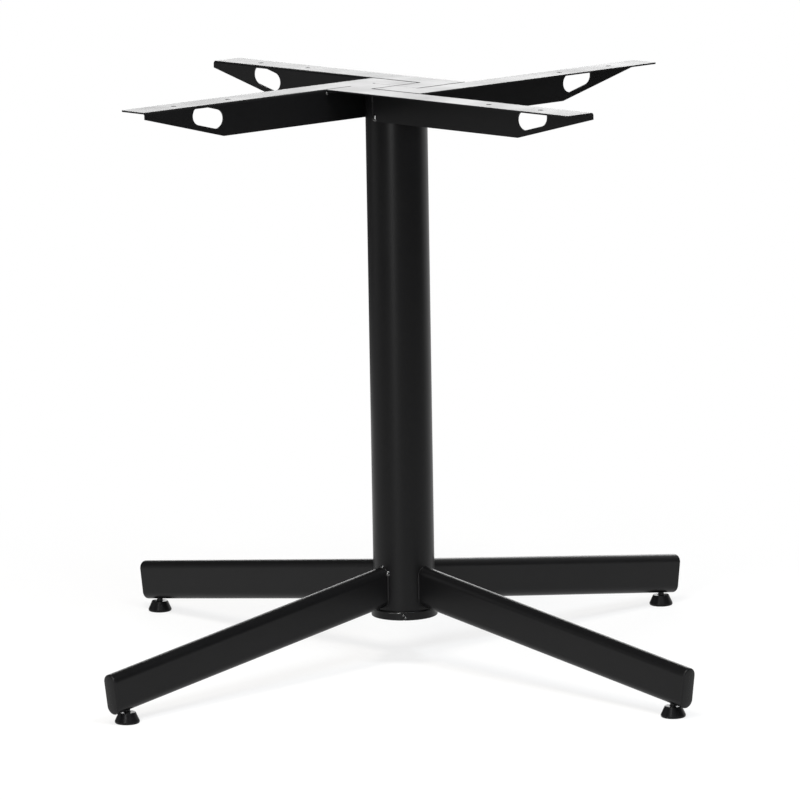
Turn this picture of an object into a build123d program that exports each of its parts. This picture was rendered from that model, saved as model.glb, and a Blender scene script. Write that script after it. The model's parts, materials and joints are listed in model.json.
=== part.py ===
from build123d import *

import os
from math import atan2, cos, degrees, radians, sin, tan

# A pedestal base for a table. The origin is on the floor under the column, +Z is up, and the four arms and
# the four legs point along +X, +Y, -X and -Y. All sizes are in millimetres.

# Overall sizes
base_height = 720.0
arm_reach = 375.0
leg_length = 490.0
headings = (0.0, 90.0, 180.0, 270.0)

# Column, a round steel tube
column_diameter = 76.1
column_wall = 2.0

# Base ring, a flat bar bent round the lower end of the column and butt welded
ring_height = 10.5
ring_thickness = 3.0
ring_fit = 0.1
ring_edge_round = 1.0
ring_joint_width = 1.2
ring_joint_heading = 225.0
ring_weld_width = 3.2
ring_weld_crown = 1.0

# Head arms, each folded from one sheet: a flange on top, a web under one side of it
arm_sheet = 2.0
bend_inside_radius = 1.5
arm_flange = 43.0
flange_corner_radius = 1.5
web_depth = 40.0
web_tip_depth = 8.5
taper_length = 125.0
relief_hole_diameter = 4.0

# Slot in each web, with its long side parallel to the tapered edge
slot_length = 50.0
slot_width = 23.0
slot_from_tip = 100.0
slot_drop = 15.0

# Screw holes for the table top, two in each flange
screw_hole_diameter = 7.0
screw_hole_from_tip = 65.0
screw_hole_spacing = 87.0
screw_hole_from_web = 22.5

# Seams of the head
centre_seam = 1.0
fold_seam = 0.3

# Legs, flat-oval tube that slopes down from the column
leg_height = 50.0
leg_width = 20.0
leg_wall = 2.0
leg_slope = 7.9
leg_cope_gap = 0.1
leg_above_ring = 4.0

# End caps of the legs
cap_head = 3.5
cap_edge_round = 2.2
cap_plug_depth = 8.0
cap_plug_wall = 1.6
cap_plug_fit = 0.2
cap_plug_gap = 4.0
cap_rib_count = 3
cap_rib_thickness = 1.4
cap_rib_spacing = 14.0

# Levelling feet
glide_base_diameter = 30.0
glide_top_diameter = 21.0
glide_height = 13.5
glide_lip = 2.8
glide_edge_round = 2.0
glide_top_round = 0.8
glide_recess_diameter = 20.0
glide_recess = 0.8
glide_floor = 3.0
glide_socket_fit = 0.02
foot_gap = 2.6
stem_diameter = 8.0
stem_engagement = 24.0
stem_chamfer = 1.0
thread_clearance = 0.05
bush_diameter = 14.0
bush_height = 27.0
bush_hole_fit = 0.1

# Weld beads
leg_bead = 3.0
leg_bead_bevel = 2.6
web_bead_radius = 2.4
flange_bead = 3.0
bead_end_gap = 2.0

# Places that follow from the sizes above
column_radius = column_diameter / 2
bend_outside_radius = bend_inside_radius + arm_sheet
leg_rise = tan(radians(leg_slope))
leg_half_height = leg_height / 2 / cos(radians(leg_slope))
leg_tip_reach = leg_length * cos(radians(leg_slope))
cap_depth = cap_head + cap_plug_depth
foot_inset = (cap_depth * cos(radians(leg_slope)) + leg_height / 2 * sin(radians(leg_slope))
              + cap_plug_gap + bush_diameter / 2)
foot_reach = leg_tip_reach - foot_inset
leg_underside_at_foot = glide_height + foot_gap
leg_axis_height = leg_underside_at_foot + leg_half_height + foot_reach * leg_rise
leg_underside_at_column = leg_axis_height - column_radius * leg_rise - leg_half_height
ring_top = leg_underside_at_column - leg_above_ring
column_bottom = ring_top - ring_height
column_top = base_height - arm_sheet


def direction(heading):
    """Unit vector in the floor plane, at a heading in degrees from +X."""
    return Vector(cos(radians(heading)), sin(radians(heading)), 0)


def top_plane(heading):
    """The carrying face, with x outward along the arm and y to its left."""
    return Plane(origin=(0, 0, base_height), x_dir=direction(heading), z_dir=(0, 0, 1))


def section_plane(heading):
    """Upright plane across the arm at the column's axis: x to the arm's left, y up, facing outward."""
    return Plane(origin=(0, 0, base_height), x_dir=direction(heading + 90), z_dir=direction(heading))


def web_plane(heading):
    """Upright plane on the web's inner face: x outward along the arm, y up, facing the flange's side."""
    rightward = direction(heading - 90)
    corner = Vector(0, 0, base_height) + rightward * column_radius
    return Plane(origin=corner, x_dir=direction(heading), z_dir=rightward)


def leg_plane(heading):
    """Plane across the leg at the column's axis: x to the leg's left, facing down the leg."""
    slope = radians(leg_slope)
    along = direction(heading) * cos(slope) - Vector(0, 0, sin(slope))
    return Plane(origin=(0, 0, leg_axis_height), x_dir=direction(heading + 90), z_dir=along)


def foot_plane(heading, height=0.0):
    """Level plane over the foot of the leg."""
    centre = direction(heading) * foot_reach
    return Plane(origin=(centre.X, centre.Y, height), x_dir=direction(heading), z_dir=(0, 0, 1))


def save(part, name):
    """Label a finished piece and write it to its own file."""
    part.label = name
    export_step(part, f"parts/{name}.step")


os.makedirs("parts", exist_ok=True)

# Column tube
with BuildPart() as column_tube:
    with BuildSketch(Plane.XY.offset(column_bottom)):
        Circle(column_radius)
        Circle(column_radius - column_wall, mode=Mode.SUBTRACT)
    extrude(amount=column_top - column_bottom)
save(column_tube.part, "column_tube")

# Base ring, open at its butt joint
ring_inside = column_radius + ring_fit
ring_outside = ring_inside + ring_thickness
joint_plane = Plane(origin=(0, 0, column_bottom), x_dir=direction(ring_joint_heading), z_dir=(0, 0, 1))
with BuildPart() as base_ring:
    with BuildSketch(Plane.XY.offset(column_bottom)):
        Circle(ring_outside)
        Circle(ring_inside, mode=Mode.SUBTRACT)
    extrude(amount=ring_height)
    outer_rims = base_ring.edges().filter_by(GeomType.CIRCLE).sort_by(SortBy.RADIUS)[-2:]
    fillet(outer_rims, radius=ring_edge_round)
    with BuildSketch(joint_plane):
        with Locations((ring_outside, 0)):
            Rectangle(column_radius, ring_joint_width)
    extrude(amount=ring_height, mode=Mode.SUBTRACT)
save(base_ring.part, "base_ring")

# Weld bead down the ring's butt joint: it fills the joint and stands a little proud of it
with BuildPart() as ring_weld:
    with BuildSketch(joint_plane):
        with Locations((ring_inside, 0)):
            Rectangle(ring_thickness, ring_joint_width, align=(Align.MIN, Align.CENTER))
    extrude(amount=ring_height - ring_edge_round)
    with BuildSketch(joint_plane.offset(ring_edge_round)):
        with Locations((ring_outside, 0)):
            Ellipse(ring_weld_crown, ring_weld_width / 2)
        Circle(ring_outside, mode=Mode.SUBTRACT)
    extrude(amount=ring_height - 2 * ring_edge_round)
save(ring_weld.part, "ring_weld")

# Head arms
web_inside = -column_radius
web_outside = -column_radius - arm_sheet
bend_centre = -column_radius - bend_outside_radius
flange_edge = -column_radius - arm_flange
flange_end = -column_radius + fold_seam
taper_angle = degrees(atan2(web_depth - web_tip_depth, taper_length))
for number, heading in enumerate(headings, start=1):
    with BuildPart() as top_arm:
        # Folded section, carried from the column's axis to the tip
        with BuildSketch(section_plane(heading)):
            with BuildLine():
                Line((web_inside, -web_depth), (web_inside, -bend_outside_radius))
                CenterArc((bend_centre, -bend_outside_radius), bend_outside_radius, 0, 90)
                Polyline((bend_centre, 0), (flange_edge, 0), (flange_edge, -arm_sheet), (bend_centre, -arm_sheet))
                CenterArc((bend_centre, -bend_outside_radius), bend_inside_radius, 0, 90)
                Polyline((web_outside, -bend_outside_radius), (web_outside, -web_depth), (web_inside, -web_depth))
            make_face()
        extrude(amount=arm_reach)
        # Flat inner end of the flange, and the tab that covers a quarter of the column
        with BuildSketch(top_plane(heading)):
            with BuildLine():
                Polyline(
                    (flange_end, flange_edge),
                    (0, flange_edge),
                    (0, web_inside),
                    (-centre_seam / 2, web_inside),
                    (-centre_seam / 2, -centre_seam / 2),
                    (flange_end, -centre_seam / 2),
                    close=True,
                )
            make_face()
        extrude(amount=-arm_sheet)
        # Relief hole where the fold ends at the column
        with BuildSketch(top_plane(heading)):
            with Locations((0, (web_inside + web_outside) / 2)):
                Circle(relief_hole_diameter / 2)
        extrude(amount=-bend_outside_radius, mode=Mode.SUBTRACT)
        # Screw holes
        with BuildSketch(top_plane(heading)):
            outer_hole = arm_reach - screw_hole_from_tip
            hole_side = web_inside - screw_hole_from_web
            with Locations((outer_hole, hole_side), (outer_hole - screw_hole_spacing, hole_side)):
                Circle(screw_hole_diameter / 2)
        extrude(amount=-arm_sheet, mode=Mode.SUBTRACT)
        # Taper of the web towards the tip
        with BuildSketch(web_plane(heading)):
            with BuildLine():
                Polyline(
                    (arm_reach - taper_length, -web_depth),
                    (arm_reach, -web_tip_depth),
                    (arm_reach, -web_depth),
                    close=True,
                )
            make_face()
        extrude(amount=arm_sheet, mode=Mode.SUBTRACT)
        # Slanted slot through the web, up into the bend
        with BuildSketch(web_plane(heading)):
            with Locations((arm_reach - slot_from_tip, -slot_drop)):
                SlotOverall(slot_length, slot_width, rotation=taper_angle)
        extrude(amount=arm_sheet, mode=Mode.SUBTRACT)
        # Corners of the flange's tip
        tip_corners = top_arm.edges().filter_by(Axis.Z).group_by(SortBy.DISTANCE)[-1]
        fillet(tip_corners, radius=flange_corner_radius)
    save(top_arm.part, f"top_arm_{number}")

# Weld beads of the head
with BuildPart() as arm_welds:
    for heading in headings:
        # Upright bead that closes the inner end of the web against the column
        with BuildSketch(top_plane(heading).offset(-web_depth)):
            with Locations((0, (web_inside + web_outside) / 2)):
                Circle(web_bead_radius)
            with Locations((0, web_outside)):
                Rectangle(column_radius, column_radius, align=(Align.MIN, Align.CENTER), mode=Mode.SUBTRACT)
            Circle(column_radius, mode=Mode.SUBTRACT)
        extrude(amount=web_depth - bend_outside_radius)
        # Bead under the inner end of the flange, against the next arm's web
        with BuildSketch(web_plane(heading).offset(bead_end_gap)):
            with BuildLine():
                Polyline(
                    (-column_radius, -arm_sheet),
                    (-column_radius + flange_bead, -arm_sheet),
                    (-column_radius, -arm_sheet - flange_bead),
                    close=True,
                )
            make_face()
        extrude(amount=arm_flange - 2 * bead_end_gap)
    # Two of the four seams between the tabs are welded through and ground flush
    with BuildSketch(Plane.XY.offset(column_top)):
        for side in (1, -1):
            with Locations((0, side * (column_radius - fold_seam + centre_seam / 2) / 2)):
                Rectangle(centre_seam, column_radius - fold_seam - centre_seam / 2)
    extrude(amount=arm_sheet)
save(arm_welds.part, "arm_welds")

# Legs, their end caps, their weld beads and their feet
cap_plug_height = leg_height - 2 * (leg_wall + cap_plug_fit)
cap_plug_width = leg_width - 2 * (leg_wall + cap_plug_fit)
bush_top = leg_underside_at_foot + bush_height
stem_top = leg_underside_at_foot + stem_engagement
leg_axis_at_foot = leg_axis_height - foot_reach * leg_rise

for number, heading in enumerate(headings, start=1):
    with BuildPart() as leg_tube:
        with BuildSketch(leg_plane(heading)):
            SlotOverall(leg_height, leg_width, rotation=90)
            SlotOverall(leg_height - 2 * leg_wall, leg_width - 2 * leg_wall, rotation=90, mode=Mode.SUBTRACT)
        extrude(amount=leg_length - cap_head)
        # Inner end coped to fit the column
        with BuildSketch(Plane.XY):
            Circle(column_radius + leg_cope_gap)
        extrude(amount=base_height, mode=Mode.SUBTRACT)
        # Hole for the bush, through the lower wall only
        with BuildSketch(foot_plane(heading)):
            Circle(bush_diameter / 2 + bush_hole_fit)
        extrude(amount=leg_axis_at_foot, mode=Mode.SUBTRACT)
    save(leg_tube.part, f"leg_tube_{number}")

    # Weld bead round the inner end of the leg
    with BuildPart() as leg_weld:
        with BuildSketch(Plane(origin=(0, 0, 0), x_dir=-direction(heading), z_dir=(0, 0, 1))):
            Circle(column_radius + leg_bead)
            Circle(column_radius, mode=Mode.SUBTRACT)
        extrude(amount=base_height / 2)
        with BuildSketch(leg_plane(heading)):
            SlotOverall(leg_height + 2 * leg_bead, leg_width + 2 * leg_bead, rotation=90)
        extrude(amount=column_diameter, mode=Mode.INTERSECT)
        outward = Axis((0, 0, 0), direction(heading))
        chamfer(leg_weld.faces().sort_by(outward)[-1].edges(), length=leg_bead_bevel)
        with BuildSketch(leg_plane(heading)):
            SlotOverall(leg_height, leg_width, rotation=90)
        extrude(amount=column_diameter, mode=Mode.SUBTRACT)
    save(leg_weld.part, f"leg_weld_{number}")

    # End cap: a head flush with the tube, a hollow plug inside it, and ribs across the plug
    cap_plane = leg_plane(heading).offset(leg_length)
    with BuildPart() as leg_end_cap:
        with BuildSketch(cap_plane):
            SlotOverall(leg_height, leg_width, rotation=90)
        extrude(amount=-cap_head)
        outward = Axis(cap_plane.origin, cap_plane.z_dir)
        fillet(leg_end_cap.faces().sort_by(outward)[-1].edges(), radius=cap_edge_round)
        with BuildSketch(cap_plane.offset(-cap_head)):
            SlotOverall(cap_plug_height, cap_plug_width, rotation=90)
            SlotOverall(
                cap_plug_height - 2 * cap_plug_wall,
                cap_plug_width - 2 * cap_plug_wall,
                rotation=90,
                mode=Mode.SUBTRACT,
            )
            with GridLocations(0, cap_rib_spacing, 1, cap_rib_count):
                Rectangle(cap_plug_width - cap_plug_wall, cap_rib_thickness)
        extrude(amount=-cap_plug_depth)
    save(leg_end_cap.part, f"leg_end_cap_{number}")

    # Threaded bush, let into the leg and trimmed flush with its underside
    with BuildPart() as foot_bush:
        with BuildSketch(foot_plane(heading)):
            Circle(bush_diameter / 2)
        extrude(amount=bush_top)
        with BuildSketch(leg_plane(heading)):
            SlotOverall(leg_height, leg_width, rotation=90)
        extrude(amount=leg_length - cap_head, mode=Mode.INTERSECT)
        with BuildSketch(foot_plane(heading)):
            Circle(stem_diameter / 2 + thread_clearance)
        extrude(amount=bush_top, mode=Mode.SUBTRACT)
    save(foot_bush.part, f"foot_bush_{number}")

    # Screwed stem, with a chamfer at each end
    with BuildPart() as foot_stem:
        with BuildSketch(foot_plane(heading, glide_floor)):
            Circle(stem_diameter / 2)
        extrude(amount=stem_top - glide_floor)
        chamfer(foot_stem.edges().filter_by(GeomType.CIRCLE), length=stem_chamfer)
    save(foot_stem.part, f"foot_stem_{number}")

    # Conical glide with a lip, a shallow recess below and a socket for the stem
    with BuildPart() as foot_glide:
        with BuildSketch(foot_plane(heading)):
            Circle(glide_base_diameter / 2)
        extrude(amount=glide_lip)
        with BuildSketch(foot_plane(heading, glide_lip)):
            Circle(glide_base_diameter / 2)
        with BuildSketch(foot_plane(heading, glide_height)):
            Circle(glide_top_diameter / 2)
        loft()
        rims = foot_glide.edges().filter_by(GeomType.CIRCLE).group_by(Axis.Z)
        fillet(rims[-1], radius=glide_top_round)
        fillet(rims[0], radius=glide_edge_round)
        with BuildSketch(foot_plane(heading)):
            Circle(glide_recess_diameter / 2)
        extrude(amount=glide_recess, mode=Mode.SUBTRACT)
        with BuildSketch(foot_plane(heading, glide_floor)):
            Circle(stem_diameter / 2 + glide_socket_fit)
        extrude(amount=glide_height, mode=Mode.SUBTRACT)
    save(foot_glide.part, f"foot_glide_{number}")
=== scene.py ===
import json
import random
from math import atan2, ceil, cos, degrees, pi, radians, sin, sqrt, tan

import bmesh
import bpy
from mathutils import Matrix, Vector

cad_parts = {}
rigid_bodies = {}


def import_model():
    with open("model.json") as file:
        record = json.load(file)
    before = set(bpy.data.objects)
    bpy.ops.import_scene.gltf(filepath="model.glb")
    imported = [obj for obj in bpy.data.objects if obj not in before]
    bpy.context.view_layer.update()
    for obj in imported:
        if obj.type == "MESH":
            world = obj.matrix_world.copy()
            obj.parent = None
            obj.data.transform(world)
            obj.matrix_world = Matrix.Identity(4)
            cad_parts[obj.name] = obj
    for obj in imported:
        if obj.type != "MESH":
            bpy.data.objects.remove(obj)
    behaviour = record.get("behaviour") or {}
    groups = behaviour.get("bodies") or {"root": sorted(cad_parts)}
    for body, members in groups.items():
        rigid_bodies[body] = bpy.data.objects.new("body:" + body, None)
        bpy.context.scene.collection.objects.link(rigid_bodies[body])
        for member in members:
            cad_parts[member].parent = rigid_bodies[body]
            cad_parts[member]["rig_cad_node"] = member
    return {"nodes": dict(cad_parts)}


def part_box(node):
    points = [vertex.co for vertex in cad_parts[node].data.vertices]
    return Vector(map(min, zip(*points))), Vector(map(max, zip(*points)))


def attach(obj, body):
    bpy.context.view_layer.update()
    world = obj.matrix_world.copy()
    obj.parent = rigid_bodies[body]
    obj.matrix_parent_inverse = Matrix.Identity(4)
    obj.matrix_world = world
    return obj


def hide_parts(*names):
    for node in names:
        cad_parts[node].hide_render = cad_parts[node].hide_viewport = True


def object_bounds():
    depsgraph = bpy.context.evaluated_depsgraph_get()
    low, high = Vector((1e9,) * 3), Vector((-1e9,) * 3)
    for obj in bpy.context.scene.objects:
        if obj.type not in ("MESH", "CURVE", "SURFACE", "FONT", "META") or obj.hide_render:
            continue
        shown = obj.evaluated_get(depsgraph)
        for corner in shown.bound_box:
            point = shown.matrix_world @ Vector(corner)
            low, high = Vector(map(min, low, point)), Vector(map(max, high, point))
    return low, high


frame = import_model()
cad_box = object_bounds()

# The camera, in metres and degrees. The photograph's frame is 800 x 800 pixels.
PHOTO_SIDE = 800
PHOTO_FOCAL_LENGTH = 5981
PHOTO_ASIDE = 1.1
SENSOR_SIDE = 36.0
CAMERA_HEIGHT = 1.5913
CAMERA_DISTANCE = 7.2725
CAMERA_HEADING = -133.67
CAMERA_PITCH = -9.841
CAMERA_ROLL = -0.948

# Studio
ROOM_LIGHT = 0.35
ROOM_DARK = 0.12
BACKDROP_ASIDE = 36
BACKDROP_FROM = 46
BACKDROP_TO = 34
FLOOR_RADIUS = 2.0
FLOOR_WHITE = 0.76
FLOOR_WHITE_FROM = 0.5
FLOOR_WHITE_TO = 1.2
LAMP_TARGET = (0, 0, 0.4)

# Finishes: the noise runs from 0 to 1, and its middle stretch is spread over the whole of a finish
NOISE_FROM = 0.3
NOISE_TO = 0.7

# Table base, in metres and degrees
SHEET = 0.002
WEB_DEPTH = 0.040
FLANGE = 0.043
SEAM_GAP = 0.001
FOLD_GAP = 0.0003
LEG_HEIGHT = 0.050
LEG_WIDTH = 0.020
LEG_WALL = 0.002
LEG_LENGTH = 0.490
LEG_SLOPE = 7.9
CAP_HEAD = 0.0035
CAP_ROUND = 0.0022
CAP_CROWN = 0.0006
CAP_PLUG_DEPTH = 0.008
CAP_PLUG_WALL = 0.0016
CAP_PLUG_FIT = 0.0002
CAP_RIB_SPACING = 0.014
CAP_RIB_THICKNESS = 0.0014
CAP_RIBS = (-1, 0, 1)
CAP_CROWN_STEPS = 5
CAP_CROWN_MIDDLE = 0.6
GLIDE_TOP_RADIUS = 0.0105
GLIDE_LIP = 0.0028
GLIDE_UNDER_ROUND = 0.002
GLIDE_LIP_ROUND = 0.001
GLIDE_TOP_ROUND = 0.0009
GLIDE_RECESS_RADIUS = 0.010
GLIDE_RECESS = 0.0008
GLIDE_FLOOR = 0.003
GLIDE_GRIP = 0.0001
GLIDE_COLLAR = 0.001
GLIDE_COLLAR_DEPTH = 0.0012
SMALL_ROUND = 0.0004
STEM_RADIUS = 0.004
THREAD_PITCH = 0.00125
THREAD_DEPTH = 0.00045
THREAD_CREST = THREAD_PITCH * 0.14
THREAD_FLANK = THREAD_PITCH * 0.36
THREAD_INSIDE = 0.00005
COAT_EDGE = 0.00035
GROUND_EDGE = 0.0008

# Weld beads: their radii, the lengths of their scales and round ends, steps along them, and a tip's size
LEG_BEAD = 0.0024
ARM_BEAD = 0.0019
RING_BEAD = 0.0013
RING_EDGE_BEAD = 0.0007
LEG_SCALES = 0.0024
ARM_SCALES = 0.0026
RING_SCALES = 0.0022
WEB_BEAD_END = 0.0024
FLANGE_BEAD_END = 0.002
RING_BEAD_END = 0.0016
RING_EDGE_END = 0.003
BEAD_STEP = 0.0004
RING_BEAD_STEP = 0.0002
BEAD_TIP = 0.05

# The scales of a bead, as shares of its radius: their rise, how much steeper they fall, and their mean
SCALE_RISE = 0.12
SCALE_FALL = 3
SCALE_MEAN = 0.045

# A leg's bead: slight along the sides, full and uneven over the top and underneath.
# Its two shares are of half the length of the round top.
LEG_JOINT_PLACES = 320
LEG_BEAD_SLIGHT = 0.38
LEG_BEAD_GROWTH = 0.5
LEG_BEAD_FULL_SHARE = 1.25
LEG_BEAD_FADE_SHARE = 0.5
UNEVEN_PLACES = 18
UNEVEN_FROM = -0.1
UNEVEN_TO = 0.16
WELD_OUTSIDE = 0.00005

# An arm's beads: up the web's inner end, thick below, and under the flange's, thick at its edge
WEB_BEAD_INWARD = 0.0004
WEB_BEAD_ABOVE_EDGE = 0.0004
WEB_BEAD_UNDER_FLANGE = 0.0008
WEB_BEAD_THICK = 1.1
WEB_BEAD_THINNER = 0.35
WEB_BEAD_THICK_FROM = 0.30
WEB_BEAD_THICK_TO = 0.38
WEB_BEAD_FADE = 0.05
FLANGE_BEAD_OUTWARD = 0.0003
FLANGE_BEAD_UNDER = 0.0010
FLANGE_BEAD_FROM_EDGE = 0.002
FLANGE_BEAD_FROM_FOLD = 0.004
FLANGE_BEAD_THICK = 1.3
FLANGE_BEAD_THICK_SHARE = 0.12

# The ring's beads: in its butt joint, and along its top edge, in degrees round the column
RING_BEAD_INSIDE = 0.0008
RING_BEAD_ABOVE = 0.0006
RING_BEAD_BELOW = 0.0002
RING_EDGE_INSIDE = 0.0004
RING_EDGE_FROM = 4
RING_EDGE_TURN = 25
RING_EDGE_STEPS = 100

# Weld lumps: their half sizes outward, aside and up, and the places on and round their joints.
# Each faces to one side of its arm's, leg's or joint's heading by its ASIDE, in degrees.
LUMP_TILT = 10
LUMP_LEG = 3
LUMP_JOINT_PLACES = 120
LUMP_START_PLACE = 3
LUMP_END_PLACE = 14
LEG_LUMP_ASIDE = 36
LEG_START_LUMP = (0.00216, 0.0036, 0.0036)
LEG_END_LUMP = (0.00168, 0.0028, 0.0028)
ARM_LUMP_ASIDE = -54
WEB_LUMP = (0.0016, 0.0034, 0.0048)
WEB_LUMP_OUTWARD = 0.0044
WEB_LUMP_PROUD = 0.0008
WEB_LUMP_DOWN = 0.0350
FLANGE_LUMP = (0.0022, 0.0022, 0.0022)
FLANGE_LUMP_OUTWARD = 0.0012
FLANGE_LUMP_PROUD = 0.0003
FLANGE_LUMP_DOWN = 0.0046
RING_LUMP_ASIDE = -9
RING_LUMP_INSIDE = 0.0003
RING_LUMP_1 = (0.0012, 0.0019, 0.0018)
RING_LUMP_1_TURN = -0.8
RING_LUMP_1_DOWN = 0.0028
RING_LUMP_2 = (0.0012, 0.0020, 0.0018)
RING_LUMP_2_TURN = 2.4
RING_LUMP_2_DOWN = 0.0060

# Fillers: the seams and the fold that are filled, and the fold's filler over the column
FILLED_SEAMS = (2, 4)
FILLED_FOLD = 3
SEAM_HOLLOW = 0.00012
FOLD_FILLER_WIDER = 0.004
FOLD_FILLER_DEPTH = 0.0018
FOLD_FILLER_OUTWARD = 0.001
FOLD_FILLER_ASIDE = 0.0015
FOLD_FILLER_DOWN = 0.00093

# How places and edges are told apart: the distance that counts as none, and angles in degrees
HAIR = 0.00001
FLAT_ANGLE = 0.2
EDGE_ANGLE = 40
SHEET_SMOOTH = 35
WELD_SMOOTH = 60
MOULD_SMOOTH = 40
THREAD_SMOOTH = 30

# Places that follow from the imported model
NUMBERS = (1, 2, 3, 4)
TOP = cad_box[1].z
COLUMN_RADIUS = (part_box("column_tube")[1].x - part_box("column_tube")[0].x) / 2
WEB_MIDDLE = -COLUMN_RADIUS - SHEET / 2
FLANGE_EDGE = -COLUMN_RADIUS - FLANGE
SLOPE = radians(LEG_SLOPE)
LEG_AXIS_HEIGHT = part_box("leg_tube_1")[1].z - LEG_HEIGHT / 2 / cos(SLOPE) + COLUMN_RADIUS * tan(SLOPE)


def heading_of(number):
    """The heading of an arm and its leg, in degrees from +X."""
    low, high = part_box(f"foot_glide_{number}")
    return round(degrees(atan2(low.y + high.y, low.x + high.x)))


def on_floor(heading, distance, height=0.0):
    """A point at a heading in degrees from +X, at a distance from the column's axis."""
    return Vector((cos(radians(heading)) * distance, sin(radians(heading)) * distance, height))


def arm_frame(number):
    """Turns an arm's own places, outward, to its left and up, into the frame's."""
    return Matrix.Rotation(radians(heading_of(number)), 4, "Z")


def leg_frame(number):
    """Turns a leg's own places, down the leg, to its left and square to it, into the frame's."""
    return arm_frame(number) @ Matrix.Translation((0, 0, LEG_AXIS_HEIGHT)) @ Matrix.Rotation(SLOPE, 4, "Y")


def foot_frame(number):
    """Moves a foot's own places, from the floor under its axis, into the frame's."""
    low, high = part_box(f"foot_glide_{number}")
    return Matrix.Translation(((low.x + high.x) / 2, (low.y + high.y) / 2, 0))


def deselect_all():
    bpy.ops.object.select_all(action="DESELECT")


def work_on(piece):
    """Selects one piece alone and makes it the active one."""
    deselect_all()
    piece.select_set(True)
    bpy.context.view_layer.objects.active = piece


def enter_edit():
    bpy.ops.object.mode_set(mode="EDIT")


def leave_edit():
    bpy.ops.object.mode_set(mode="OBJECT")


def select_where(test, kind="verts"):
    """In edit mode, select only the vertices, edges or faces that pass a test."""
    modes = {"verts": "VERT", "edges": "EDGE", "faces": "FACE"}
    bpy.ops.mesh.select_mode(type=modes[kind])
    bpy.ops.mesh.select_all(action="DESELECT")
    mesh = bmesh.from_edit_mesh(bpy.context.object.data)
    for element in getattr(mesh, kind):
        element.select = test(element)
    mesh.select_flush_mode()
    bmesh.update_edit_mesh(bpy.context.object.data)


def apply_modifier(piece, kind, **settings):
    work_on(piece)
    modifier = piece.modifiers.new(kind.title(), kind)
    for name, value in settings.items():
        setattr(modifier, name, value)
    bpy.ops.object.modifier_apply(modifier=modifier.name)


def smooth(piece, angle=SHEET_SMOOTH):
    """Smooth shading across rounded edges that leaves the flats flat."""
    work_on(piece)
    bpy.ops.object.shade_smooth_by_angle(angle=radians(angle))
    apply_modifier(piece, "WEIGHTED_NORMAL", keep_sharp=True)


def settle(piece, matrix):
    """Moves a piece's mesh to its place and leaves its object at the origin."""
    piece.data.transform(matrix)
    piece.data.update()


def copy_of(piece, name):
    """A copy of a piece, with a mesh of its own."""
    work_on(piece)
    bpy.ops.object.duplicate()
    bpy.context.object.name = name
    bpy.context.object.data.name = name
    return bpy.context.object


def one_for_each(piece, name):
    """The piece and its copies, one for each arm, leg or foot."""
    return [piece] + [copy_of(piece, f"{name}_{number}") for number in NUMBERS[1:]]


def finish_piece(piece, body, slot, material, *nodes):
    """Gives a piece its finish and the body it rides on, and hides the nodes that it stands for. The slot is
    not used.
    """
    piece.data.materials.clear()
    piece.data.materials.append(material)
    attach(piece, body)
    if nodes:
        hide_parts(*nodes)


def new_material(name):
    material = bpy.data.materials.new(name)
    material.use_nodes = True
    material.node_tree.nodes.clear()
    return material


def noise(nodes, links, place, scale, detail):
    texture = nodes.new("ShaderNodeTexNoise")
    texture.inputs["Detail"].default_value = detail
    links.new(place, texture.inputs["Vector"])
    links.new(scale, texture.inputs["Scale"])
    return texture.outputs["Fac"]


def surface_group():
    """Soft waves, fine grain and slow clouds over a surface, for each finish to use at its own scale."""
    group = bpy.data.node_groups.new("fine surface", "ShaderNodeTree")
    for name in ("Wave Scale", "Grain Scale", "Grain Share", "Cloud Scale"):
        group.interface.new_socket(name, in_out="INPUT", socket_type="NodeSocketFloat")
    for name in ("Height", "Cloud", "Grain"):
        group.interface.new_socket(name, in_out="OUTPUT", socket_type="NodeSocketFloat")
    nodes, links = group.nodes, group.links
    given = nodes.new("NodeGroupInput")
    result = nodes.new("NodeGroupOutput")
    place = nodes.new("ShaderNodeTexCoord").outputs["Object"]
    wave = noise(nodes, links, place, given.outputs["Wave Scale"], 1.0)
    grain = noise(nodes, links, place, given.outputs["Grain Scale"], 2.0)
    cloud = noise(nodes, links, place, given.outputs["Cloud Scale"], 3.0)
    height = nodes.new("ShaderNodeMath")
    height.operation = "MULTIPLY_ADD"
    links.new(grain, height.inputs[0])
    links.new(given.outputs["Grain Share"], height.inputs[1])
    links.new(wave, height.inputs[2])
    links.new(height.outputs["Value"], result.inputs["Height"])
    links.new(cloud, result.inputs["Cloud"])
    links.new(grain, result.inputs["Grain"])
    return group


SURFACE = surface_group()


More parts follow.
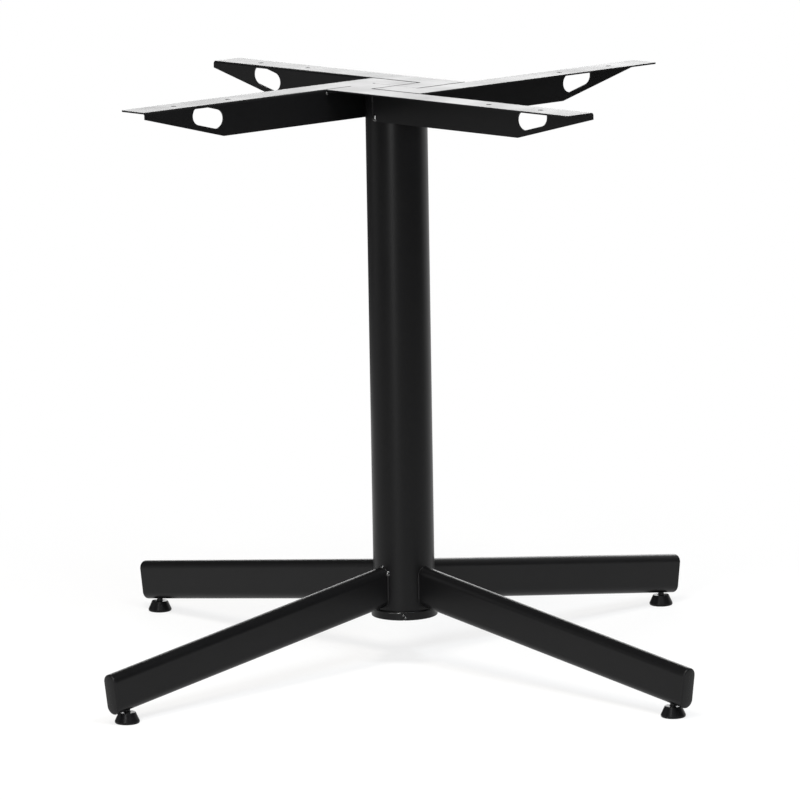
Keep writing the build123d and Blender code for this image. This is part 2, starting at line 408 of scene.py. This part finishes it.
def finish_material(name, dark, light, roughness, specular, metallic, bump, scales):
    """A black finish. Its colour and roughness each run between two values, and bump is in metres.

    Scales are those of the waves and the grain, the grain's share, and the scale of the clouds.
    """
    material = new_material(name)
    nodes, links = material.node_tree.nodes, material.node_tree.links
    surface = nodes.new("ShaderNodeGroup")
    surface.node_tree = SURFACE
    for socket, value in zip(("Wave Scale", "Grain Scale", "Grain Share", "Cloud Scale"), scales):
        surface.inputs[socket].default_value = value
    paint = nodes.new("ShaderNodeBsdfPrincipled")
    paint.inputs["Specular IOR Level"].default_value = specular
    paint.inputs["Metallic"].default_value = metallic
    tone = nodes.new("ShaderNodeValToRGB")
    tone.color_ramp.elements[0].position = NOISE_FROM
    tone.color_ramp.elements[0].color = (*dark, 1)
    tone.color_ramp.elements[1].position = NOISE_TO
    tone.color_ramp.elements[1].color = (*light, 1)
    links.new(surface.outputs["Grain"], tone.inputs["Fac"])
    links.new(tone.outputs["Color"], paint.inputs["Base Color"])
    gloss = nodes.new("ShaderNodeMapRange")
    gloss.inputs["From Min"].default_value = NOISE_FROM
    gloss.inputs["From Max"].default_value = NOISE_TO
    gloss.inputs["To Min"].default_value = roughness[0]
    gloss.inputs["To Max"].default_value = roughness[1]
    links.new(surface.outputs["Cloud"], gloss.inputs["Value"])
    links.new(gloss.outputs["Result"], paint.inputs["Roughness"])
    relief = nodes.new("ShaderNodeBump")
    relief.inputs["Distance"].default_value = bump
    links.new(surface.outputs["Height"], relief.inputs["Height"])
    links.new(relief.outputs["Normal"], paint.inputs["Normal"])
    output = nodes.new("ShaderNodeOutputMaterial")
    links.new(paint.outputs["BSDF"], output.inputs["Surface"])
    return material


COAT_DARK = (0.0037, 0.0037, 0.004)
COAT_LIGHT = (0.0053, 0.0053, 0.0056)
POWDER_COAT = finish_material(
    "powder coat", COAT_DARK, COAT_LIGHT,
    roughness=(0.31, 0.37), specular=0.16, metallic=0.0, bump=0.0000025, scales=(330, 1900, 0.2, 14))
WELD_COAT = finish_material(
    "powder coat over welds", COAT_DARK, COAT_LIGHT,
    roughness=(0.06, 0.09), specular=1.0, metallic=0.0, bump=0.000002, scales=(330, 1900, 0.2, 40))
CAP_PLASTIC = finish_material(
    "cap plastic", (0.006, 0.006, 0.0064), (0.009, 0.009, 0.0094),
    roughness=(0.30, 0.36), specular=0.15, metallic=0.0, bump=0.000006, scales=(900, 2600, 0.8, 60))
GLIDE_PLASTIC = finish_material(
    "glide plastic", (0.004, 0.004, 0.0044), (0.006, 0.006, 0.0064),
    roughness=(0.28, 0.35), specular=0.12, metallic=0.0, bump=0.000004, scales=(500, 3000, 0.4, 90))
STEM_STEEL = finish_material(
    "blackened steel", (0.05, 0.05, 0.052), (0.10, 0.10, 0.10),
    roughness=(0.32, 0.45), specular=0.5, metallic=1.0, bump=0.00001, scales=(700, 4000, 0.5, 200))


def coated_copy(node, name, ground_edge=False):
    """A copy of a sheet or tube whose sharp edges are rounded, as a powder coat rounds them."""
    piece = copy_of(frame["nodes"][node], name)
    del piece["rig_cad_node"]
    bpy.ops.mesh.customdata_custom_splitnormals_clear()
    enter_edit()
    bpy.ops.mesh.select_all(action="SELECT")
    bpy.ops.mesh.remove_doubles(threshold=HAIR)
    bpy.ops.mesh.dissolve_limited(angle_limit=radians(FLAT_ANGLE))
    if ground_edge:
        # The edge along the open seam of the head is ground off further
        select_where(
            lambda edge: all(abs(v.co.y) < SEAM_GAP and v.co.z > TOP - HAIR for v in edge.verts), "edges")
        bpy.ops.mesh.bevel(offset=GROUND_EDGE, segments=1, affect="EDGES")
    leave_edit()
    apply_modifier(piece, "BEVEL", width=COAT_EDGE, segments=3, limit_method="ANGLE",
                   angle_limit=radians(EDGE_ANGLE), use_clamp_overlap=True)
    smooth(piece)
    finish_piece(piece, "frame", "powder_coat", POWDER_COAT, node)


def line_of(name, places, closed):
    """A chain of edges through places: a circle that is moved to them, and opened unless it is closed."""
    deselect_all()
    bpy.ops.mesh.primitive_circle_add(vertices=len(places), radius=COLUMN_RADIUS)
    piece = bpy.context.object
    piece.name = name
    for vertex, place in zip(piece.data.vertices, places):
        vertex.co = place
    if not closed:
        ends = {0, len(places) - 1}
        enter_edit()
        select_where(lambda edge: {v.index for v in edge.verts} == ends, "edges")
        bpy.ops.mesh.delete(type="EDGE_FACE")
        leave_edit()
    return piece


def weld_bead(name, places, radius, closed, swell):
    """A weld bead along a line. Swell gives its size at each place, from 0 to 1 along the line."""
    bead = line_of(name, places, closed)
    bpy.ops.object.convert(target="CURVE")
    bead = bpy.context.object
    bead.data.bevel_depth = radius
    bead.data.bevel_resolution = 5
    bead.data.use_fill_caps = not closed
    points = bead.data.splines[0].points
    for index, point in enumerate(points):
        point.radius = swell(index / (len(points) - 1))
    bpy.ops.object.convert(target="MESH")
    bead = bpy.context.object
    bead.data.name = name
    smooth(bead, WELD_SMOOTH)
    return bead


def ripple(place, length, pitch):
    """The scales of a weld bead: each rises slowly and falls steeply."""
    phase = place * length / pitch % 1
    return SCALE_RISE * min(phase, SCALE_FALL * (1 - phase)) - SCALE_MEAN


def leg_joint_line(number, count):
    """The line where a leg's outline meets the column, from the leg's left side over its top and round."""
    place = leg_frame(number)
    radius = LEG_WIDTH / 2 + WELD_OUTSIDE
    straight = LEG_HEIGHT - LEG_WIDTH
    turn = pi * radius
    places = []
    for index in range(count):
        run = index / count * 2 * (straight + turn)
        half_way = run >= straight + turn
        if half_way:
            run -= straight + turn
        if run < turn:
            side = cos(run / radius) * radius
            up = straight / 2 + sin(run / radius) * radius
        else:
            side = -radius
            up = straight / 2 - (run - turn)
        if half_way:
            side, up = -side, -up
        reach = sqrt((COLUMN_RADIUS + WELD_OUTSIDE) ** 2 - side ** 2)
        along = (reach - up * sin(SLOPE)) / cos(SLOPE)
        places.append(place @ Vector((along, side, up)))
    return places


def weld_lump(name, place, heading, size):
    """A smooth, flat lump of weld that faces a heading and a little up."""
    deselect_all()
    bpy.ops.mesh.primitive_uv_sphere_add(segments=32, ring_count=20, radius=1)
    piece = bpy.context.object
    piece.name = name
    turn = Matrix.Rotation(radians(heading), 4, "Z") @ Matrix.Rotation(-radians(LUMP_TILT), 4, "Y")
    settle(piece, Matrix.Translation(place) @ turn @ Matrix.Diagonal((*size, 1)))
    smooth(piece, WELD_SMOOTH)
    finish_piece(piece, "frame", "powder_coat", WELD_COAT)


def eased(share):
    """A share from 0 to 1 that starts and ends gently."""
    return share * share * (3 - 2 * share)


def add_leg_welds():
    """Beads that are full over and under each leg and slight along its flat sides."""
    length = 2 * (LEG_HEIGHT - LEG_WIDTH) + pi * LEG_WIDTH
    top_middle = pi * LEG_WIDTH / 4 / length
    for number in NUMBERS:
        wander = random.Random(number)
        uneven = [wander.uniform(UNEVEN_FROM, UNEVEN_TO) for _ in range(UNEVEN_PLACES)]

        def swell(place):
            spot = place * len(uneven)
            first, second = uneven[int(spot) % len(uneven)], uneven[(int(spot) + 1) % len(uneven)]
            blend = eased(spot % 1)
            # Full round the middle of the leg's top and of its underside, half a turn further on
            from_middle = min(abs(place - top_middle), abs(place - top_middle - 0.5), 1 + top_middle - place)
            full = (LEG_BEAD_FULL_SHARE * top_middle - from_middle) / (LEG_BEAD_FADE_SHARE * top_middle)
            full = min(1.0, max(0.0, full))
            size = LEG_BEAD_SLIGHT + LEG_BEAD_GROWTH * eased(full)
            size += LEG_BEAD_GROWTH * full * (first * (1 - blend) + second * blend)
            return size + full * ripple(place, length, LEG_SCALES)

        joint = leg_joint_line(number, LEG_JOINT_PLACES)
        bead = weld_bead(f"leg_weld_bead_{number}", joint, LEG_BEAD, True, swell)
        finish_piece(bead, "frame", "powder_coat", POWDER_COAT, f"leg_weld_{number}")
    # Two lumps where the bead of one leg was started and ended: on its near side and over its top
    joint = leg_joint_line(LUMP_LEG, LUMP_JOINT_PLACES)
    heading = heading_of(LUMP_LEG) + LEG_LUMP_ASIDE
    weld_lump("leg_weld_start", joint[LUMP_START_PLACE], heading, LEG_START_LUMP)
    weld_lump("leg_weld_end", joint[LUMP_END_PLACE], heading, LEG_END_LUMP)


def straight_line(start, end, step=BEAD_STEP):
    """Places along a straight line, a step or a little less apart."""
    count = ceil((end - start).length / step)
    return [start.lerp(end, index / count) for index in range(count + 1)]


def round_end(place, length, radius):
    """The size of a bead near its round ends."""
    from_end = min(place, 1 - place) * length / radius
    return 1.0 if from_end >= 1 else max(BEAD_TIP, sqrt(1 - (1 - from_end) ** 2))


def add_web_weld(number):
    """The upright bead over the web's inner end, thick in its lowest third."""
    turn = arm_frame(number)
    thick = random.Random(number).uniform(WEB_BEAD_THICK_FROM, WEB_BEAD_THICK_TO)
    low = turn @ Vector((-WEB_BEAD_INWARD, WEB_MIDDLE, TOP - WEB_DEPTH + WEB_BEAD_ABOVE_EDGE))
    high = turn @ Vector((-WEB_BEAD_INWARD, WEB_MIDDLE, TOP - SHEET - WEB_BEAD_UNDER_FLANGE))
    height = (high - low).length

    def swell(place):
        wide = WEB_BEAD_THICK - WEB_BEAD_THINNER * min(1, max(0, place - thick) / WEB_BEAD_FADE)
        return wide * round_end(place, height, WEB_BEAD_END) * (1 + ripple(place, height, ARM_SCALES))

    bead = weld_bead(f"web_weld_bead_{number}", straight_line(low, high), ARM_BEAD, False, swell)
    finish_piece(bead, "frame", "powder_coat", POWDER_COAT, "arm_welds")


def add_flange_weld(number):
    """The bead under the flange's inner end, thick at the flange's edge."""
    turn = arm_frame(number)
    outward = -COLUMN_RADIUS + FLANGE_BEAD_OUTWARD
    height = TOP - SHEET - FLANGE_BEAD_UNDER
    start = turn @ Vector((outward, FLANGE_EDGE + FLANGE_BEAD_FROM_EDGE, height))
    end = turn @ Vector((outward, -COLUMN_RADIUS - FLANGE_BEAD_FROM_FOLD, height))
    length = (end - start).length

    def swell(place):
        thick = FLANGE_BEAD_THICK if place < FLANGE_BEAD_THICK_SHARE else 1.0
        return thick * round_end(place, length, FLANGE_BEAD_END) * (1 + ripple(place, length, ARM_SCALES))

    bead = weld_bead(f"flange_weld_bead_{number}", straight_line(start, end), ARM_BEAD, False, swell)
    finish_piece(bead, "frame", "powder_coat", POWDER_COAT)


def add_arm_weld_lumps(number):
    """A lump low on the web's bead, and one at the end of the flange's."""
    turn = arm_frame(number)
    heading = heading_of(number) + ARM_LUMP_ASIDE
    on_web = turn @ Vector((WEB_LUMP_OUTWARD, WEB_MIDDLE - WEB_LUMP_PROUD, TOP - WEB_LUMP_DOWN))
    on_flange = turn @ Vector((-COLUMN_RADIUS + FLANGE_LUMP_OUTWARD, FLANGE_EDGE - FLANGE_LUMP_PROUD,
                               TOP - FLANGE_LUMP_DOWN))
    weld_lump(f"web_weld_lump_{number}", on_web, heading, WEB_LUMP)
    weld_lump(f"flange_weld_lump_{number}", on_flange, heading, FLANGE_LUMP)


def block(name, size, middle):
    """A square-edged block of a size, round a middle."""
    deselect_all()
    bpy.ops.mesh.primitive_cube_add(size=1)
    piece = bpy.context.object
    piece.name = name
    piece.scale = size
    piece.location = middle
    bpy.ops.object.transform_apply(location=True, rotation=True, scale=True)
    return piece


def add_seam_fillers():
    """Two seams of the head's middle are welded through and ground flush, a little hollow."""
    length = COLUMN_RADIUS - SEAM_GAP / 2 - FOLD_GAP
    for number in FILLED_SEAMS:
        filler = block(f"seam_filler_{number}", (length, SEAM_GAP, SHEET),
                       (SEAM_GAP / 2 + length / 2, 0, TOP - SHEET / 2))
        enter_edit()
        bpy.ops.mesh.select_all(action="SELECT")
        bpy.ops.mesh.subdivide(number_cuts=11)
        select_where(lambda v: v.co.z > TOP - HAIR and abs(v.co.y) < SEAM_GAP / 4)
        bpy.ops.transform.translate(value=(0, 0, -SEAM_HOLLOW))
        leave_edit()
        settle(filler, arm_frame(number))
        smooth(filler)
        finish_piece(filler, "frame", "powder_coat", POWDER_COAT)


def add_fold_filler():
    """The groove along one fold is filled too, over the column."""
    aside = COLUMN_RADIUS + FOLD_GAP / 2 + FOLD_FILLER_ASIDE
    filler = block(f"fold_filler_{FILLED_FOLD}",
                   (COLUMN_RADIUS, FOLD_GAP + FOLD_FILLER_WIDER, FOLD_FILLER_DEPTH),
                   (COLUMN_RADIUS / 2 + FOLD_FILLER_OUTWARD, -aside, TOP - FOLD_FILLER_DOWN))
    settle(filler, arm_frame(FILLED_FOLD))
    finish_piece(filler, "frame", "powder_coat", POWDER_COAT)


def add_ring_welds():
    """The bead in the ring's butt joint with two lumps on it, and a thin run of weld along its top edge."""
    low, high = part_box("ring_weld")
    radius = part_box("base_ring")[1].x
    heading = degrees(atan2(low.y + high.y, low.x + high.x))
    start = on_floor(heading, radius - RING_BEAD_INSIDE, low.z + RING_BEAD_ABOVE)
    end = on_floor(heading, radius - RING_BEAD_INSIDE, high.z - RING_BEAD_BELOW)
    length = (end - start).length

    def swell(place):
        return round_end(place, length, RING_BEAD_END) * (1 + ripple(place, length, RING_SCALES))

    bead = weld_bead("ring_weld_bead", straight_line(start, end, RING_BEAD_STEP), RING_BEAD, False, swell)
    finish_piece(bead, "frame", "powder_coat", POWDER_COAT, "ring_weld")
    # The two lumps leave a pinhole between them
    upper = on_floor(heading + RING_LUMP_1_TURN, radius - RING_LUMP_INSIDE, high.z - RING_LUMP_1_DOWN)
    lower = on_floor(heading + RING_LUMP_2_TURN, radius - RING_LUMP_INSIDE, high.z - RING_LUMP_2_DOWN)
    weld_lump("ring_weld_lump_1", upper, heading + RING_LUMP_ASIDE, RING_LUMP_1)
    weld_lump("ring_weld_lump_2", lower, heading + RING_LUMP_ASIDE, RING_LUMP_2)
    # The run along the top edge starts to the left of the joint
    places = []
    for step in range(RING_EDGE_STEPS + 1):
        along = heading - RING_EDGE_FROM - step * RING_EDGE_TURN / RING_EDGE_STEPS
        places.append(on_floor(along, radius - RING_EDGE_INSIDE, high.z - RING_EDGE_INSIDE))
    run = (places[-1] - places[0]).length
    edge = weld_bead("ring_edge_bead", places, RING_EDGE_BEAD, False,
                     lambda place: round_end(place, run, RING_EDGE_END))
    finish_piece(edge, "frame", "powder_coat", WELD_COAT)


def arc(centre, radius, start, end, steps):
    """Points of a round stretch of a half section, with its angles in degrees."""
    angles = [radians(start + (end - start) * step / steps) for step in range(steps + 1)]
    return [(centre[0] + radius * cos(angle), centre[1] + radius * sin(angle)) for angle in angles]


def add_glides():
    """Conical glides with a round lip, a hollow sole and a collar round the stem."""
    low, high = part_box("foot_glide_1")
    base = (high.x - low.x) / 2
    height = high.z - low.z
    tilt = degrees(atan2(base - GLIDE_TOP_RADIUS, height - GLIDE_LIP))
    inside = STEM_RADIUS - GLIDE_GRIP
    profile = [(inside, GLIDE_FLOOR), (0.0, GLIDE_FLOOR), (0.0, GLIDE_RECESS)]
    profile += arc((GLIDE_RECESS_RADIUS - SMALL_ROUND, GLIDE_RECESS - SMALL_ROUND), SMALL_ROUND, 90, 0, 4)
    profile += [(GLIDE_RECESS_RADIUS, 0.0)]
    profile += arc((base - GLIDE_UNDER_ROUND, GLIDE_UNDER_ROUND), GLIDE_UNDER_ROUND, -90, 0, 8)
    profile += arc((base - GLIDE_LIP_ROUND, GLIDE_LIP), GLIDE_LIP_ROUND, 0, tilt, 4)
    shoulder = (GLIDE_TOP_RADIUS - GLIDE_TOP_ROUND, height - GLIDE_TOP_ROUND)
    profile += arc(shoulder, GLIDE_TOP_ROUND, tilt, 90, 6)
    profile += arc((STEM_RADIUS + GLIDE_COLLAR, height - SMALL_ROUND), SMALL_ROUND, 90, 180, 4)
    profile += [(inside, height - GLIDE_COLLAR_DEPTH)]
    glide = line_of("glide_1", [(radius, 0, up) for radius, up in profile], True)
    enter_edit()
    bpy.ops.mesh.select_all(action="SELECT")
    bpy.ops.mesh.spin(steps=96, angle=2 * pi, center=(0, 0, 0), axis=(0, 0, 1))
    bpy.ops.mesh.select_all(action="SELECT")
    bpy.ops.mesh.remove_doubles(threshold=HAIR)
    bpy.ops.mesh.normals_make_consistent(inside=False)
    leave_edit()
    smooth(glide, MOULD_SMOOTH)
    for number, piece in zip(NUMBERS, one_for_each(glide, "glide")):
        settle(piece, foot_frame(number))
        finish_piece(piece, f"foot_{number}", "glide_plastic", GLIDE_PLASTIC, f"foot_glide_{number}")


def add_stems():
    """Stems with a rolled thread, cut off at both ends."""
    low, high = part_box("foot_stem_1")
    root = STEM_RADIUS - THREAD_DEPTH
    crest = STEM_RADIUS - THREAD_INSIDE
    profile = [
        (root, 0),
        (root, THREAD_CREST),
        (crest, THREAD_CREST + THREAD_FLANK),
        (crest, 2 * THREAD_CREST + THREAD_FLANK),
        (root, 2 * THREAD_CREST + 2 * THREAD_FLANK),
        (root, THREAD_PITCH),
    ]
    stem = line_of("stem_1", [(radius, 0, low.z - THREAD_PITCH + up) for radius, up in profile], False)
    turns = ceil((high.z - low.z) / THREAD_PITCH) + 2
    apply_modifier(stem, "SCREW", angle=2 * pi, screw_offset=THREAD_PITCH, iterations=turns, steps=40,
                   render_steps=40, axis="Z", use_merge_vertices=True, merge_threshold=HAIR)
    enter_edit()
    bpy.ops.mesh.select_all(action="SELECT")
    bpy.ops.mesh.remove_doubles(threshold=HAIR)
    for cut, outward in ((low.z, -1), (high.z, 1)):
        bpy.ops.mesh.select_all(action="SELECT")
        bpy.ops.mesh.bisect(plane_co=(0, 0, cut), plane_no=(0, 0, outward), use_fill=True, clear_outer=True)
    bpy.ops.mesh.select_all(action="SELECT")
    bpy.ops.mesh.normals_make_consistent(inside=False)
    leave_edit()
    smooth(stem, THREAD_SMOOTH)
    for number, piece in zip(NUMBERS, one_for_each(stem, "stem")):
        settle(piece, foot_frame(number))
        finish_piece(piece, f"foot_{number}", "stem_steel", STEM_STEEL, f"foot_stem_{number}")


def oval(name, width, height, place):
    """A flat oval face across the leg: a circle whose upper and lower halves are moved apart."""
    deselect_all()
    bpy.ops.mesh.primitive_circle_add(vertices=64, radius=width / 2, fill_type="NGON")
    piece = bpy.context.object
    piece.name = name
    apart = (height - width) / 2
    enter_edit()
    for half in (1, -1):
        select_where(lambda v: v.co.y * half > HAIR or (abs(v.co.y) <= HAIR and v.co.x * half > 0))
        bpy.ops.transform.translate(value=(0, apart * half, 0))
    leave_edit()
    # The circle's own X, Y and Z become the leg's left, up and along
    stand = Matrix(((0, 0, 1, 0), (1, 0, 0, 0), (0, 1, 0, 0), (0, 0, 0, 1)))
    settle(piece, Matrix.Translation((place, 0, 0)) @ stand)
    return piece


def cap_head(start):
    """The crowned head of a leg's end cap, with a round rim."""
    rim = LEG_LENGTH - CAP_CROWN
    cap = oval("cap_1", LEG_WIDTH, LEG_HEIGHT, start)
    enter_edit()
    bpy.ops.mesh.select_all(action="SELECT")
    bpy.ops.mesh.extrude_region_move(TRANSFORM_OT_translate={"value": (rim - start, 0, 0)})
    select_where(lambda edge: all(v.co.x > rim - HAIR for v in edge.verts), "edges")
    bpy.ops.mesh.bevel(offset=CAP_ROUND, segments=6, profile=0.5, affect="EDGES")
    select_where(lambda face: face.calc_center_median().x > rim - HAIR, "faces")
    ring = (LEG_WIDTH / 2 - CAP_ROUND) / (CAP_CROWN_STEPS + CAP_CROWN_MIDDLE)
    for left in range(CAP_CROWN_STEPS, 0, -1):
        bpy.ops.mesh.inset(thickness=ring, depth=0)
        rise = ((left / CAP_CROWN_STEPS) ** 2 - ((left - 1) / CAP_CROWN_STEPS) ** 2) * CAP_CROWN
        bpy.ops.transform.translate(value=(rise, 0, 0))
    leave_edit()
    return cap


def cap_plug(start):
    """The hollow plug that holds a cap in its leg, and the ribs across it."""
    inset = 2 * (LEG_WALL + CAP_PLUG_FIT)
    plug = oval("plug", LEG_WIDTH - inset, LEG_HEIGHT - inset, start)
    enter_edit()
    bpy.ops.mesh.select_all(action="SELECT")
    bpy.ops.mesh.inset(thickness=CAP_PLUG_WALL, depth=0)
    bpy.ops.mesh.delete(type="FACE")
    bpy.ops.mesh.select_all(action="SELECT")
    bpy.ops.mesh.extrude_region_move(TRANSFORM_OT_translate={"value": (-CAP_PLUG_DEPTH, 0, 0)})
    leave_edit()
    rib = (CAP_PLUG_DEPTH, LEG_WIDTH - inset - CAP_PLUG_WALL, CAP_RIB_THICKNESS)
    middle = start - CAP_PLUG_DEPTH / 2
    return [plug] + [block("rib", rib, (middle, 0, place * CAP_RIB_SPACING)) for place in CAP_RIBS]


def add_caps():
    """Moulded end caps: a crowned head with a round rim, and a hollow plug with ribs."""
    start = LEG_LENGTH - CAP_HEAD
    cap = cap_head(start)
    plug = cap_plug(start)
    deselect_all()
    for piece in [cap] + plug:
        piece.select_set(True)
    bpy.context.view_layer.objects.active = cap
    bpy.ops.object.join()
    enter_edit()
    bpy.ops.mesh.select_all(action="SELECT")
    bpy.ops.mesh.normals_make_consistent(inside=False)
    leave_edit()
    smooth(cap, MOULD_SMOOTH)
    for number, piece in zip(NUMBERS, one_for_each(cap, "cap")):
        settle(piece, leg_frame(number))
        finish_piece(piece, "frame", "cap_plastic", CAP_PLASTIC, f"leg_end_cap_{number}")


def looking(place, target):
    """The matrix of a camera or lamp at a place that looks at a target."""
    turn = (Vector(target) - Vector(place)).to_track_quat("-Z", "Y")
    return Matrix.Translation(place) @ turn.to_matrix().to_4x4()


def add_camera():
    place = on_floor(CAMERA_HEADING, CAMERA_DISTANCE, CAMERA_HEIGHT)
    target = Vector((0, 0, CAMERA_HEIGHT + CAMERA_DISTANCE * tan(radians(CAMERA_PITCH))))
    camera = bpy.data.objects.new("camera", bpy.data.cameras.new("camera"))
    bpy.context.scene.collection.objects.link(camera)
    camera.matrix_world = looking(place, target) @ Matrix.Rotation(radians(CAMERA_ROLL), 4, "Z")
    camera.data.sensor_width = SENSOR_SIDE
    camera.data.lens = SENSOR_SIDE * PHOTO_FOCAL_LENGTH / PHOTO_SIDE
    camera.data.shift_x = -PHOTO_ASIDE / PHOTO_SIDE
    bpy.context.scene.camera = camera


def add_lamp(name, aside, distance, height, width, tall, radiance, colour=(1, 1, 1)):
    """A soft rectangular lamp. Aside is its heading from the camera's, in degrees to the camera's right."""
    light = bpy.data.lights.new(name, "AREA")
    light.shape = "RECTANGLE"
    light.size = width
    light.size_y = tall
    light.energy = radiance * width * tall * pi
    light.color = colour
    lamp = bpy.data.objects.new(name, light)
    bpy.context.scene.collection.objects.link(lamp)
    lamp.matrix_world = looking(on_floor(CAMERA_HEADING + aside, distance, height), LAMP_TARGET)
    lamp.visible_camera = False


def background_rays(nodes, links):
    """1 where a camera, glossy or transmission ray looks, and 0 for the rays that light the object."""
    path = nodes.new("ShaderNodeLightPath")
    mask = path.outputs["Is Camera Ray"]
    for other in ("Is Glossy Ray", "Is Transmission Ray"):
        either = nodes.new("ShaderNodeMath")
        either.operation = "MAXIMUM"
        links.new(mask, either.inputs[0])
        links.new(path.outputs[other], either.inputs[1])
        mask = either.outputs["Value"]
    return mask


def add_world():
    world = bpy.data.worlds.new("studio")
    bpy.context.scene.world = world
    world.use_nodes = True
    nodes, links = world.node_tree.nodes, world.node_tree.links
    nodes.clear()
    plain = nodes.new("ShaderNodeMapRange")
    plain.inputs["To Min"].default_value = ROOM_LIGHT
    plain.inputs["To Max"].default_value = 1.0
    links.new(background_rays(nodes, links), plain.inputs["Value"])
    # What shows in a shine: the white backdrop behind the object, and the dark room round it
    toward = nodes.new("ShaderNodeVectorMath")
    toward.operation = "DOT_PRODUCT"
    toward.inputs[1].default_value = on_floor(CAMERA_HEADING + 180 - BACKDROP_ASIDE, 1)
    links.new(nodes.new("ShaderNodeTexCoord").outputs["Generated"], toward.inputs[0])
    backdrop = nodes.new("ShaderNodeMapRange")
    backdrop.interpolation_type = "SMOOTHSTEP"
    backdrop.inputs["From Min"].default_value = cos(radians(BACKDROP_FROM))
    backdrop.inputs["From Max"].default_value = cos(radians(BACKDROP_TO))
    backdrop.inputs["To Min"].default_value = ROOM_DARK
    backdrop.inputs["To Max"].default_value = 1.0
    links.new(toward.outputs["Value"], backdrop.inputs["Value"])
    strength = nodes.new("ShaderNodeMix")
    links.new(nodes.new("ShaderNodeLightPath").outputs["Is Glossy Ray"], strength.inputs["Factor"])
    links.new(plain.outputs["Result"], strength.inputs["A"])
    links.new(backdrop.outputs["Result"], strength.inputs["B"])
    sky = nodes.new("ShaderNodeBackground")
    sky.inputs["Color"].default_value = (1, 1, 1, 1)
    links.new(strength.outputs["Result"], sky.inputs["Strength"])
    output = nodes.new("ShaderNodeOutputWorld")
    links.new(sky.outputs["Background"], output.inputs["Surface"])


def add_floor():
    """A pale floor that keeps the object's shadow and fades into the white background."""
    deselect_all()
    bpy.ops.mesh.primitive_circle_add(vertices=96, radius=FLOOR_RADIUS, fill_type="NGON")
    floor = bpy.context.object
    floor.name = "floor"
    material = new_material("pale floor")
    nodes, links = material.node_tree.nodes, material.node_tree.links
    paint = nodes.new("ShaderNodeBsdfDiffuse")
    paint.inputs["Color"].default_value = (1, 1, 1, 1)
    white = nodes.new("ShaderNodeEmission")
    white.inputs["Color"].default_value = (1, 1, 1, 1)
    distance = nodes.new("ShaderNodeVectorMath")
    distance.operation = "LENGTH"
    links.new(nodes.new("ShaderNodeTexCoord").outputs["Object"], distance.inputs[0])
    fade = nodes.new("ShaderNodeMapRange")
    fade.interpolation_type = "SMOOTHSTEP"
    fade.inputs["From Min"].default_value = FLOOR_WHITE_FROM
    fade.inputs["From Max"].default_value = FLOOR_WHITE_TO
    fade.inputs["To Min"].default_value = FLOOR_WHITE
    fade.inputs["To Max"].default_value = 1.0
    links.new(distance.outputs["Value"], fade.inputs["Value"])
    share = nodes.new("ShaderNodeMath")
    share.operation = "MULTIPLY"
    links.new(fade.outputs["Result"], share.inputs[0])
    links.new(background_rays(nodes, links), share.inputs[1])
    mix = nodes.new("ShaderNodeMixShader")
    links.new(share.outputs["Value"], mix.inputs["Fac"])
    links.new(paint.outputs["BSDF"], mix.inputs[1])
    links.new(white.outputs["Emission"], mix.inputs[2])
    output = nodes.new("ShaderNodeOutputMaterial")
    links.new(mix.outputs["Shader"], output.inputs["Surface"])
    floor.data.materials.append(material)


for node in frame["nodes"].values():
    node.data.materials.clear()
    node.data.materials.append(POWDER_COAT)

for number in NUMBERS:
    coated_copy(f"top_arm_{number}", f"arm_{number}", ground_edge=True)
    coated_copy(f"leg_tube_{number}", f"leg_{number}")
add_leg_welds()
for number in NUMBERS:
    add_web_weld(number)
    add_flange_weld(number)
    add_arm_weld_lumps(number)
add_seam_fillers()
add_fold_filler()
add_ring_welds()
add_caps()
add_glides()
add_stems()

bpy.context.scene.view_settings.view_transform = "Standard"
add_camera()
add_world()
add_floor()
add_lamp("front", aside=-21, distance=4, height=1.5, width=0.8, tall=2.8, radiance=10)
add_lamp("left", aside=-92, distance=2.6, height=0.8, width=1.4, tall=1.6, radiance=0.6)
add_lamp("warm", aside=-18, distance=1.7, height=3.6, width=1, tall=1, radiance=20, colour=(1, 0.95, 0.88))
add_lamp("cool", aside=30, distance=2.2, height=3.3, width=1, tall=1, radiance=20, colour=(0.90, 0.95, 1))
add_lamp("back", aside=174, distance=5, height=1.6, width=3.4, tall=1.8, radiance=3.2)
